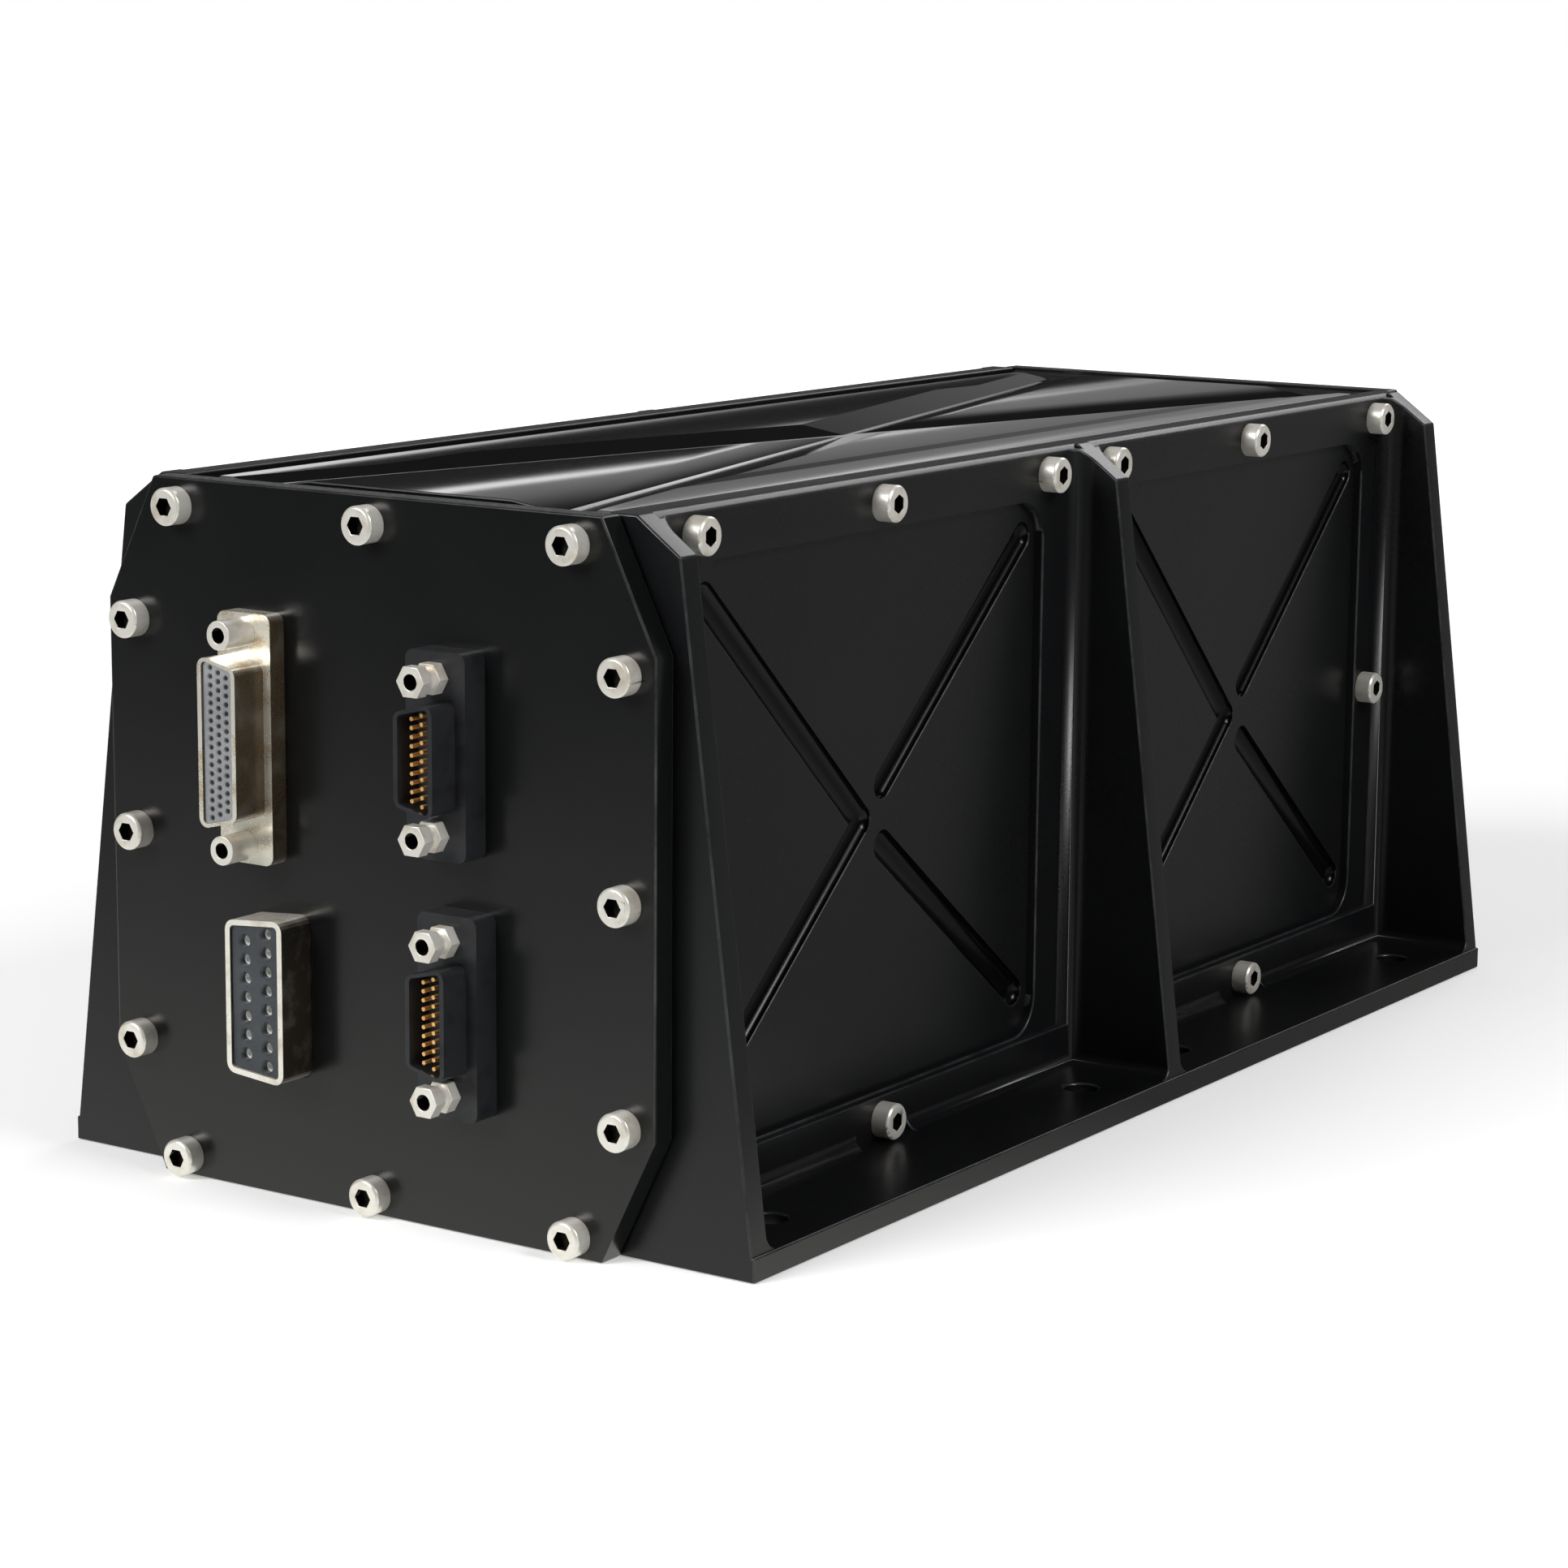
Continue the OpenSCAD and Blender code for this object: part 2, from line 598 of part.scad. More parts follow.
module cover_section(foot, top) {
  translate([-cover_half, foot]) square([2 * cover_half, top - foot]);
}
module relief_cut() {
  run = norm([relief_end_offset, cover_end]);
  deep = cover_top - relief_depth;
  for (s = [-1, 1]) rotate([0, 0, s * atan2(relief_end_offset, cover_end)])
    prism_y(-run - relief_mouth, run + relief_mouth) polygon([
      [-relief_floor / 2, deep], [relief_floor / 2, deep],
      [relief_mouth / 2, cover_top], [relief_mouth / 2, cover_top + cut],
      [-relief_mouth / 2, cover_top + cut], [-relief_mouth / 2, cover_top]
    ]);
}
module border_cut() {
  field = relief_field_width / 2;
  inner = cover_half - step_width;
  both_sides() prism_y(-cover_end - cut, cover_end + cut) polygon([
    [field, cover_top], [field + border_slope, cover_top - border_drop], [inner, cover_top - border_drop],
    [inner, cover_top - step_depth], [cavity_half, cover_top - step_depth],
    [cavity_half, cover_top + cut], [field, cover_top + cut]
  ]);
}
module top_cover() {
  foot = chassis_height - top_flange_reach;
  color("gray") difference() {
    prism_y(-cover_end, cover_end) cover_section(foot, cover_top);
    translate([cover_flange_thickness - cover_half, -cover_end - cut, foot - cut])
      cube([2 * (cover_half - cover_flange_thickness), 2 * (cover_end + cut),
        cover_top - top_cover_thickness - foot + cut]);
    relief_cut();
    border_cut();
    both_sides() for (y = cover_screw_rows) translate([cover_half + cut, y, upper_screw_height])
      rotate([0, -90, 0]) cylinder(h = cover_flange_thickness + 2 * cut, d = tap_diameter);
  }
}
module bottom_cover() {
  color("dimgray") difference() {
    prism_y(-cover_end, cover_end) cover_section(bottom_cover_lift, bottom_flange_height);
    translate([cover_flange_thickness - cover_half, -cover_end - cut,
      bottom_cover_lift + bottom_cover_thickness])
      cube([2 * (cover_half - cover_flange_thickness), 2 * (cover_end + cut), bottom_flange_height]);
    both_sides() for (y = bottom_screw_rows) translate([cover_half + cut, y, bottom_screw_height])
      rotate([0, -90, 0]) cylinder(h = cover_flange_thickness + 2 * cut, d = tap_diameter);
  }
}

module plate_outline(inset) {
  w = plate_width / 2 - inset;
  polygon([
    [plate_cut_width - w, inset], [w - plate_cut_width, inset], [w, plate_cut_height],
    [w, chassis_height - plate_cut_height], [w - plate_cut_width, chassis_height - inset],
    [plate_cut_width - w, chassis_height - inset], [-w, chassis_height - plate_cut_height],
    [-w, plate_cut_height]
  ]);
}
module plate_blank() {
  difference() {
    prism_y(0, plate_thickness) plate_outline(0);
    translate([0, plate_thickness + cut, 0]) plate_holes(through_diameter, plate_thickness + 2 * cut);
  }
}
module gasket_blank() {
  difference() {
    prism_y(0, gasket_thickness) plate_outline(gasket_inset);
    prism_y(-cut, gasket_thickness + cut) translate([0, frame_opening_sill + frame_opening_height / 2])
      round_rect(cavity_width, frame_opening_height, frame_opening_radius);
    translate([0, gasket_thickness + cut, 0]) plate_holes(through_diameter, gasket_thickness + 2 * cut);
  }
}
module d_shape(w, h, r, a) {
  polygon(rounded(d_points(w, h, a), r));
}
module from_plate(t0, t1) {
  prism_y(-plate_front - t1, -plate_front - t0) children();
}
module on_plate(x, z) {
  translate([x, 0, z]) children();
}
module bores(points, d, t0, t1) {
  for (p = points) translate([p[0], -plate_front - t0, p[1]]) rotate([90, 0, 0]) cylinder(h = t1 - t0, d = d);
}
module sinks(points, d, sink, t) {
  deep = (sink - d) / 2;
  for (p = points) translate([p[0], deep - plate_front - t, p[1]]) rotate([90, 0, 0])
    cylinder(h = 2 * deep, d1 = d, d2 = 2 * sink - d);
}
module jack_points(span) {
  for (s = [-1, 1]) translate([0, 0, s * span / 2]) children();
}
module large_at() {
  on_plate(large_port_x, large_port_z) mirror([1, 0, 0]) children();
}
module small_at(i) {
  on_plate(small_ports[i][0], small_ports[i][1]) children();
}
module wide_at() {
  on_plate(wide_port_x, wide_port_z) children();
}
module large_window(play) {
  inset = 2 * (port_wall + play);
  d_shape(large_port_width - inset, large_port_height - inset, port_radius - port_wall, port_slant);
}
module small_window(play) {
  inset = 2 * (port_wall + play);
  d_shape(small_port_width - inset, small_port_height - inset, port_radius - port_wall, port_slant);
}
module wide_outline(play) {
  d_shape(wide_port_width + 2 * play, wide_port_height + 2 * play, wide_radius, wide_slant);
}
module wide_window(play) {
  inset = 2 * (wide_wall + play);
  d_shape(wide_port_width - inset, wide_port_height - inset, wide_radius - wide_wall, wide_slant);
}
module stud_holes(span, t) {
  jack_points(span) bores([[0, 0]], stud_tap, -plate_thickness - cut, t + cut);
}
module front_plate() {
  color("darkslategray") difference() {
    translate([0, -plate_front, 0]) plate_blank();
    large_at() {
      from_plate(-plate_thickness - cut, cut) large_window(0);
      stud_holes(large_port_span, 0);
    }
    for (i = [0, 1]) small_at(i) {
      from_plate(-plate_thickness - cut, cut) small_window(0);
      stud_holes(small_port_span, 0);
    }
    wide_at() from_plate(-plate_thickness - cut, cut) wide_outline(port_clearance);
    for (p = spacer_points) translate([p[0], cut - gasket_front, p[1]]) rotate([90, 0, 0])
      cylinder(h = board_screw_reach + tap_clearance + cut, d = board_tap);
  }
}
module rear_plate() {
  color("darkslategray") translate([0, gasket_front, 0]) plate_blank();
}
module front_gasket() {
  color("black") translate([0, -gasket_front, 0]) gasket_blank();
}
module rear_gasket() {
  color("black") translate([0, half_length, 0]) gasket_blank();
}

module cap_screw(length) {
  difference() {
    union() {
      cylinder(h = head_height - head_chamfer, d = head_diameter);
      translate([0, 0, head_height - head_chamfer])
        cylinder(h = head_chamfer, d1 = head_diameter, d2 = head_diameter - 2 * head_chamfer);
      translate([0, 0, -length]) cylinder(h = length + head_height / 2, d = shank_diameter);
    }
    translate([0, 0, head_height - socket_depth])
      cylinder(h = socket_depth + cut, d = socket_flats / cos(30), $fn = 6);
  }
}
module front_plate_screws() {
  color("silver") for (p = plate_points) translate([p[0], -plate_front, p[1]]) rotate([90, 0, 0])
    cap_screw(plate_screw_length);
}
module rear_plate_screws() {
  color("silver") for (p = plate_points) translate([p[0], plate_front, p[1]]) rotate([-90, 0, 0])
    cap_screw(plate_screw_length);
}
module cover_screws() {
  color("silver") both_sides() for (y = cover_screw_rows) translate([rail_half, y, upper_screw_height])
    rotate([0, 90, 0]) cap_screw(upper_screw_length);
}
module bottom_cover_screws() {
  color("silver") both_sides() for (y = bottom_screw_rows) translate([ledge_face, y, bottom_screw_height])
    rotate([0, 90, 0]) cap_screw(bottom_screw_length);
}
module carrier_screws() {
  color("silver") both_sides() translate([rail_half, carrier_screw_y, carrier_screw_z])
    rotate([0, 90, 0]) cap_screw(rail_half - cover_half + carrier_tap_depth - tap_clearance);
}

module large_port_shell() {
  color("tan") large_at() difference() {
    union() {
      from_plate(0, large_flange_thickness) round_rect(large_flange_width, large_flange_height, port_radius);
      from_plate(large_flange_thickness, large_port_reach)
        d_shape(large_port_width, large_port_height, port_radius, port_slant);
    }
    from_plate(-cut, large_port_reach + cut) large_window(0);
    stud_holes(large_port_span, large_flange_thickness);
  }
}
module large_port_insert() {
  face = large_port_reach - insert_drop;
  color("black") large_at() difference() {
    from_plate(-insert_tail, face) large_window(port_clearance);
    bores(large_grid(), fine_hole, -insert_tail - cut, large_port_reach);
    sinks(large_grid(), fine_hole, fine_sink, face);
  }
}
module large_port_contacts() {
  color("gold") large_at()
    bores(large_grid(), fine_contact, -insert_tail, large_port_reach - insert_drop - contact_drop);
}
module large_port_jackposts() {
  top = large_flange_thickness + jackpost_reach;
  color("silver") large_at() jack_points(large_port_span) difference() {
    union() {
      from_plate(large_flange_thickness, top) circle(d = jackpost_width);
      from_plate(-jackpost_stud_reach, large_flange_thickness + cut) circle(d = jackpost_stud);
    }
    from_plate(top - jackpost_bore_depth, top + cut) circle(d = jackpost_bore);
  }
}
module small_shell(i) {
  small_at(i) difference() {
    union() {
      from_plate(0, small_flange_thickness) round_rect(small_flange_width, small_flange_height, port_radius);
      from_plate(small_flange_thickness, small_port_reach)
        d_shape(small_port_width, small_port_height, port_radius, port_slant);
    }
    from_plate(-cut, small_port_reach + cut) small_window(0);
    stud_holes(small_port_span, small_flange_thickness);
  }
}
module small_insert(i) {
  small_at(i) difference() {
    from_plate(-insert_tail, small_port_reach - pin_well_depth) small_window(port_clearance);
    bores(small_grid(), fine_contact + 2 * port_clearance, -insert_tail - cut, small_port_reach);
  }
}
module small_pins(i) {
  small_at(i) bores(small_grid(), fine_contact, -insert_tail, small_port_reach - pin_tip_drop);
}
module small_jackposts(i) {
  foot = small_flange_thickness;
  top = foot + jackpost_reach;
  small_at(i) jack_points(small_port_span) difference() {
    union() {
      from_plate(foot, foot + jackpost_hex) circle(d = jackpost_width / cos(30), $fn = 6);
      from_plate(foot, top) circle(d = jackpost_neck);
      from_plate(top - jackpost_hex, top) circle(d = jackpost_width / cos(30), $fn = 6);
      from_plate(-jackpost_stud_reach, foot + cut) circle(d = jackpost_stud);
    }
    from_plate(top - jackpost_bore_depth, top + cut) circle(d = jackpost_bore);
  }
}
module upper_port_shell() {
  color("dimgray") small_shell(0);
}
module upper_port_insert() {
  color("black") small_insert(0);
}
module upper_port_pins() {
  color("gold") small_pins(0);
}
module upper_port_jackposts() {
  color("silver") small_jackposts(0);
}
module lower_port_shell() {
  color("dimgray") small_shell(1);
}
module lower_port_insert() {
  color("black") small_insert(1);
}
module lower_port_pins() {
  color("gold") small_pins(1);
}
module lower_port_jackposts() {
  color("silver") small_jackposts(1);
}
module wide_port_shell() {
  color("silver") wide_at() difference() {
    union() {
      from_plate(-plate_thickness - wide_flange_thickness, wide_port_reach) wide_outline(0);
      from_plate(-plate_thickness - wide_flange_thickness, -plate_thickness)
        round_rect(wide_flange_width, wide_flange_height, wide_radius);
    }
    from_plate(-insert_tail, wide_port_reach + cut) wide_window(0);
  }
}
module wide_port_insert() {
  face = wide_port_reach - insert_drop;
  color("black") wide_at() difference() {
    from_plate(-insert_tail, face) wide_window(port_clearance);
    bores(wide_grid(), wide_hole, -insert_tail - cut, wide_port_reach);
    sinks(wide_grid(), wide_hole, wide_sink, face);
  }
}
module wide_port_contacts() {
  top = wide_port_reach - insert_drop - contact_drop;
  color("gold") wide_at() difference() {
    bores(wide_grid(), wide_hole - 2 * port_clearance, -insert_tail, top);
    bores(wide_grid(), wide_bore, -plate_thickness, wide_port_reach);
  }
}

module upright_board(y) {
  translate([-upright_board_width / 2, y, upright_board_sill])
    cube([upright_board_width, board_thickness, upright_board_height]);
}
module board_holes(points, y) {
  for (p = points) translate([p[0], y + board_thickness + cut, p[1]]) rotate([90, 0, 0])
    cylinder(h = board_thickness + 2 * cut, d = board_screw_diameter + through_clearance);
}
module interface_board() {
  color("darkgreen") difference() {
    upright_board(interface_front);
    board_holes(spacer_points, interface_front);
  }
}
module interface_spacers() {
  color("silver") for (p = spacer_points) translate([p[0], interface_front, p[1]]) rotate([90, 0, 0])
    difference() {
      union() {
        cylinder(h = interface_gap, d = spacer_flats / cos(30), $fn = 6);
        cylinder(h = interface_gap + board_screw_reach, d = board_screw_diameter);
      }
      translate([0, 0, -cut]) cylinder(h = board_screw_reach + tap_clearance + cut, d = board_tap);
    }
}
module board_screw() {
  cylinder(h = board_head_height, d = board_head_diameter);
  translate([0, 0, -board_thickness - board_screw_reach])
    cylinder(h = board_thickness + board_screw_reach + cut, d = board_screw_diameter);
}
module interface_screws() {
  color("silver") for (p = spacer_points) translate([p[0], interface_rear, p[1]]) rotate([-90, 0, 0])
    board_screw();
}
module card(z) {
  translate([-card_half, card_front, z]) cube([2 * card_half, card_rear - card_front, board_thickness]);
}
module interface_card() {
  color("green") card(card_levels[2]);
}
module processor_card() {
  color("green") card(card_levels[1]);
}
module power_card() {
  color("green") card(card_levels[0]);
}
module card_guides() {
  color("dimgray") both_sides() for (z = card_levels) difference() {
    translate([cavity_half - guide_width, guide_front, z + board_thickness / 2 - guide_height / 2])
      cube([guide_width, guide_rear - guide_front, guide_height]);
    translate([cavity_half - guide_width - cut, guide_front - cut, z - card_play])
      cube([card_slot_depth + cut, guide_rear - guide_front + 2 * cut, board_thickness + 2 * card_play]);
  }
}
module card_socket() {
  difference() {
    translate([-socket_length / 2, 0, board_thickness / 2 - socket_height / 2])
      cube([socket_length, socket_reach, socket_height]);
    translate([-socket_length / 2 - cut, socket_reach - card_edge_reach - card_play, -card_play])
      cube([socket_length + 2 * cut, card_edge_reach + card_play + cut, board_thickness + 2 * card_play]);
  }
}
module card_sockets() {
  color("ivory") for (z = card_levels) {
    translate([0, interface_rear, z]) card_socket();
    translate([0, backplane_front, z]) mirror([0, 1, 0]) card_socket();
  }
}
module processor_package() {
  color("gray") translate([-processor_side / 2, -processor_side / 2, card_levels[1] + board_thickness])
    cube([processor_side, processor_side, processor_height]);
}
module memory_packages() {
  row = (memory_count - 1) * memory_pitch + memory_width;
  color("black") for (i = [0:memory_count - 1])
    translate([i * memory_pitch - row / 2, processor_side, card_levels[1] + board_thickness])
      cube([memory_width, memory_length, memory_height]);
}
module power_coils() {
  color("darkgray") for (i = [-1:1]) translate([0, i * coil_pitch, card_levels[0] + board_thickness])
    cylinder(h = coil_height, d = coil_diameter);
}
module backplane() {
  color("darkgreen") difference() {
    upright_board(backplane_front);
    board_holes(backplane_points, backplane_front);
  }
}
module backplane_carrier() {
  color("gray") difference() {
    translate([-cover_half, backplane_rear, carrier_screw_z - carrier_height / 2])
      cube([2 * cover_half, carrier_depth, carrier_height]);
    both_sides() translate([cover_half + cut, carrier_screw_y, carrier_screw_z]) rotate([0, -90, 0])
      cylinder(h = carrier_tap_depth + cut, d = tap_diameter);
    for (p = backplane_points) translate([p[0], backplane_rear - cut, p[1]]) rotate([-90, 0, 0])
      cylinder(h = board_screw_reach + tap_clearance + cut, d = board_tap);
  }
}
module backplane_screws() {
  color("silver") for (p = backplane_points) translate([p[0], backplane_front, p[1]]) rotate([90, 0, 0])
    board_screw();
}

chassis();
top_cover();
bottom_cover();
front_plate();
rear_plate();
front_gasket();
rear_gasket();
front_plate_screws();
rear_plate_screws();
cover_screws();
bottom_cover_screws();
carrier_screws();
large_port_shell();
large_port_insert();
large_port_contacts();
large_port_jackposts();
wide_port_shell();
wide_port_insert();
wide_port_contacts();
upper_port_shell();
upper_port_insert();
upper_port_pins();
upper_port_jackposts();
lower_port_shell();
lower_port_insert();
lower_port_pins();
lower_port_jackposts();
interface_board();
interface_spacers();
interface_screws();
card_guides();
interface_card();
processor_card();
power_card();
card_sockets();
processor_package();
memory_packages();
power_coils();
backplane();
backplane_carrier();
backplane_screws();
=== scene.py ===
import json
import math

import bpy
from mathutils import Matrix, Vector


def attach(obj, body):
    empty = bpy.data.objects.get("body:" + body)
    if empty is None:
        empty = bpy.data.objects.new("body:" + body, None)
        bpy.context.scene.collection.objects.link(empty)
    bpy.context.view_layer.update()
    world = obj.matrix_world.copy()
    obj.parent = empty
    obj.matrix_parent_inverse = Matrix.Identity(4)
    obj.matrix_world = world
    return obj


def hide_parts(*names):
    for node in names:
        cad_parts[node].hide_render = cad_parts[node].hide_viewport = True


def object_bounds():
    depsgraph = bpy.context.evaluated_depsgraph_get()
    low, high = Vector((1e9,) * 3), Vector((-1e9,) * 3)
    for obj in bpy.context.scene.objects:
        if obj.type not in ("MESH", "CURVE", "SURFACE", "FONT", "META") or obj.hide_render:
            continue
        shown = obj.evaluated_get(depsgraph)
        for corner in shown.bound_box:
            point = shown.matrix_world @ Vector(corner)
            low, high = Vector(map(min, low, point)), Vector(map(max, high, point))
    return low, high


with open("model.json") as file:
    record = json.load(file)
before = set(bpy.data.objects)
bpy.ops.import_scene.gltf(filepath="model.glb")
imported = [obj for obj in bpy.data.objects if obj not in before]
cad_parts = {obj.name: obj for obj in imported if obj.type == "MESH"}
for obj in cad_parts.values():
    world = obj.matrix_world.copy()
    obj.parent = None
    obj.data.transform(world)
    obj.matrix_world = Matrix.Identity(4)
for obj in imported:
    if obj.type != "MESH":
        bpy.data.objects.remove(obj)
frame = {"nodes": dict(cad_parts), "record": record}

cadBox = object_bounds()
nodes = frame["nodes"]
print("frame loaded:", len(nodes), "nodes")


# one socket with its tree, so that shader maths reads as plain sums
class Wire:
    def __init__(self, tree, socket):
        self.tree = tree
        self.socket = socket

    def maths(self, operation, first, second):
        node = self.tree.nodes.new("ShaderNodeMath")
        node.operation = operation
        for slot, value in zip(node.inputs, (first, second)):
            if isinstance(value, Wire):
                self.tree.links.new(value.socket, slot)
            else:
                slot.default_value = value
        return Wire(self.tree, node.outputs[0])

    def __add__(self, other):
        return self.maths("ADD", self, other)

    def __radd__(self, other):
        return self.maths("ADD", other, self)

    def __sub__(self, other):
        return self.maths("SUBTRACT", self, other)

    def __rsub__(self, other):
        return self.maths("SUBTRACT", other, self)

    def __mul__(self, other):
        return self.maths("MULTIPLY", self, other)

    def __rmul__(self, other):
        return self.maths("MULTIPLY", other, self)


# a node tree with one method that adds any node
class Tree:
    def __init__(self, tree):
        self.tree = tree
        tree.nodes.clear()

    def add(self, kind, settings=None, inputs=None, out=0):
        node = self.tree.nodes.new(kind)
        for name, value in (settings or {}).items():
            if name == "stops":
                ramp = node.color_ramp
                while len(ramp.elements) < len(value):
                    ramp.elements.new(0.5)
                for element, (place, colour) in zip(ramp.elements, value):
                    element.position = place
                    element.color = (*colour, 1)
            else:
                setattr(node, name, value)
        for name, value in (inputs or {}).items():
            if isinstance(value, Wire):
                self.tree.links.new(value.socket, node.inputs[name])
            else:
                node.inputs[name].default_value = value
        return Wire(self.tree, node.outputs[out]) if node.outputs else None

    # the pattern can be made finer along an axis
    def noise(self, size, detail=3, finer=(1, 1, 1)):
        coords = self.add("ShaderNodeTexCoord", out="Object")
        place = self.add("ShaderNodeMapping", None, {"Vector": coords, "Scale": finer})
        return self.add("ShaderNodeTexNoise", None, {
            "Vector": place, "Scale": 1 / size, "Detail": detail, "Roughness": 0.55})

    def part(self, vector, axis):
        return self.add("ShaderNodeSeparateXYZ", None, {"Vector": vector}, out=axis)

    def ramp(self, value, *stops):
        return self.add("ShaderNodeValToRGB", {"stops": stops}, {"Fac": value})

    # nought to one as the value passes through the span
    def mask(self, value, span):
        return self.ramp(value, (span[0], (0, 0, 0)), (span[1], (1, 1, 1)))

    # eased from low to high as the value passes through the span
    def ease(self, value, span, low, high):
        return self.add("ShaderNodeMapRange", {"interpolation_type": "SMOOTHSTEP"}, {
            "Value": value, "From Min": span[0], "From Max": span[1], "To Min": low, "To Max": high})

    def blend(self, share, first, second):
        return self.add("ShaderNodeMix", {"data_type": "RGBA"}, {0: share, 6: first, 7: second}, out=2)

    def bump(self, height, strength, distance):
        return self.add("ShaderNodeBump", None, {
            "Height": height, "Strength": strength, "Distance": distance})

    def surface(self, **inputs):
        named = {name.replace("_", " "): value for name, value in inputs.items()}
        shader = self.add("ShaderNodeBsdfPrincipled", None, named)
        self.add("ShaderNodeOutputMaterial", None, {"Surface": shader})


def newFinish(name):
    material = bpy.data.materials.new(name)
    material.use_nodes = True
    return material, Tree(material.node_tree)


def opaque(colour):
    return (*colour, 1)


# a pattern as a swing to both sides of its middle
def swing(pattern, amount):
    return (pattern - 0.5) * amount


anodiseLook = {
    "grain": 0.00035,           # size of the bead-blasted grain
    "cloud": 0.03,              # size of the soft patches in the dye
    "tool": 0.02,               # length of the tool marks
    "toolFiner": (1, 60, 1),
    "cloudTint": 0.6,           # parts of the three in the colour
    "grainTint": 0.25,
    "toolTint": 0.15,
    "dye": (0.32, 0.68),        # from dark to pale
    "evenRough": 0.65,          # parts of the roughness
    "cloudRough": 0.3,
    "grainRough": 0.4,
    "toolDepth": 0.4,
    "depth": 0.00002,
}


# dyed and sealed aluminium: fine blasted grain, cloudy dye, faint tool marks along one way
def anodise(name, dark, pale, rough, specular, bite=0.35):
    look = anodiseLook
    material, tree = newFinish(name)
    cloud = tree.noise(look["cloud"], 4)
    grain = tree.noise(look["grain"], 2)
    tool = tree.noise(look["tool"], 3, look["toolFiner"])
    tint = cloud * look["cloudTint"] + grain * look["grainTint"] + tool * look["toolTint"]
    uneven = look["evenRough"] + cloud * look["cloudRough"] + grain * look["grainRough"]
    tree.surface(
        Base_Color=tree.ramp(tint, (look["dye"][0], dark), (look["dye"][1], pale)),
        Roughness=rough * uneven, Specular_IOR_Level=specular,
        Normal=tree.bump(grain + tool * look["toolDepth"], bite, look["depth"]))
    return material


wornAndHighlitLook = {
    "patch": 0.006,             # size of the worn patches
    "scuff": 0.0008,
    "patchShare": 0.7,
    "scuffShare": 0.3,
    "wearAndHighlight": (0.35, 0.62),       # from dyed to worn, pale as wear and as a painted highlight
    "metallic": 0.3,
    "specular": 0.6,
    "roughSwing": 0.15,
    "bite": 0.2,
    "depth": 0.00002,
}


# broken edges made paler: partly wear, where the dye is thinner and the metal shines through, and
# partly a painted highlight along the edge
def wornAndHighlitEdge(name, dark, pale, rough):
    look = wornAndHighlitLook
    material, tree = newFinish(name)
    patch = tree.noise(look["patch"], 4)
    scuff = tree.noise(look["scuff"], 3)
    wornAndHighlit = tree.mask(patch * look["patchShare"] + scuff * look["scuffShare"], look["wearAndHighlight"])
    tree.surface(
        Base_Color=tree.blend(wornAndHighlit, opaque(dark), opaque(pale)),
        Roughness=rough + swing(scuff, look["roughSwing"]),
        Specular_IOR_Level=look["specular"], Metallic=look["metallic"],
        Normal=tree.bump(scuff, look["bite"], look["depth"]))
    return material


metalLook = {
    "stain": 0.004,             # size of the stains
    "stainSoft": 0.25,          # how softly they begin
    "stainSwing": 0.12,         # swings of the roughness
    "markSwing": 0.1,
    "flankShadeEven": 0.75,          # how much painted shade a flank gets, and what the stain pattern adds to it
    "flankShadeStain": 0.5,
    "bite": 0.15,
    "depth": 0.00001,
}


# plated or bare metal with fine turning marks and a little staining; plug shells get painted shade on
# their flanks, the faces that point sideways
def metal(name, clean, stained, rough, metallic=1.0, stainFrom=0.5, paintedFlankShade=None,
          marks=0.00018, marksFiner=(1, 1, 1)):
    look = metalLook
    material, tree = newFinish(name)
    stain = tree.noise(look["stain"], 4)
    turned = tree.noise(marks, 2, marksFiner)
    dirty = tree.mask(stain, (stainFrom, stainFrom + look["stainSoft"]))
    colour = tree.blend(dirty, opaque(clean), opaque(stained))
    # painted shade: faces turned towards ±X take the darker flank colour, the more so the more they
    # face sideways
    if paintedFlankShade:
        sideways = tree.part(tree.add("ShaderNodeTexCoord", out="Normal"), "X")
        paintedShadeShare = sideways * sideways * (look["flankShadeEven"] + stain * look["flankShadeStain"])
        colour = tree.blend(paintedShadeShare, colour, opaque(paintedFlankShade))
    tree.surface(
        Base_Color=colour, Metallic=metallic,
        Roughness=rough + swing(stain, look["stainSwing"]) + swing(turned, look["markSwing"]),
        Normal=tree.bump(turned, look["bite"], look["depth"]))
    return material


mouldedLook = {
    "skin": 0.0002,             # size of the spark-eroded skin
    "flow": 0.008,              # size of the flow patches
    "flowTint": 0.6,
    "skinTint": 0.4,
    "tone": (0.35, 0.65),       # from dark to pale
    "roughSwing": 0.15,
    "bite": 0.25,
    "depth": 0.00002,
}


# moulded plastic or rubber with a spark-eroded skin
def moulded(name, dark, pale, rough):
    look = mouldedLook
    material, tree = newFinish(name)
    skin = tree.noise(look["skin"], 3)
    flow = tree.noise(look["flow"], 3)
    tint = flow * look["flowTint"] + skin * look["skinTint"]
    tree.surface(
        Base_Color=tree.ramp(tint, (look["tone"][0], dark), (look["tone"][1], pale)),
        Roughness=rough + swing(skin, look["roughSwing"]),
        Normal=tree.bump(skin, look["bite"], look["depth"]))
    return material


laminateLook = {
    "thread": 0.0009,
    "warp": (1, 0.25, 1),
    "weft": (0.25, 1, 1),
    "tone": ((0.35, (0.010, 0.07, 0.025)), (0.65, (0.02, 0.13, 0.05))),
    "rough": 0.3,
    "roughSwing": 0.2,
    "bite": 0.2,
    "depth": 0.00003,
}


# glass cloth laminate under a green mask
def laminate(name):
    look = laminateLook
    material, tree = newFinish(name)
    warp = tree.noise(look["thread"], 2, look["warp"])
    weft = tree.noise(look["thread"], 2, look["weft"])
    weave = warp * 0.5 + weft * 0.5
    tree.surface(
        Base_Color=tree.ramp(weave, *look["tone"]),
        Roughness=look["rough"] + swing(weave, look["roughSwing"]),
        Normal=tree.bump(weave, look["bite"], look["depth"]))
    return material


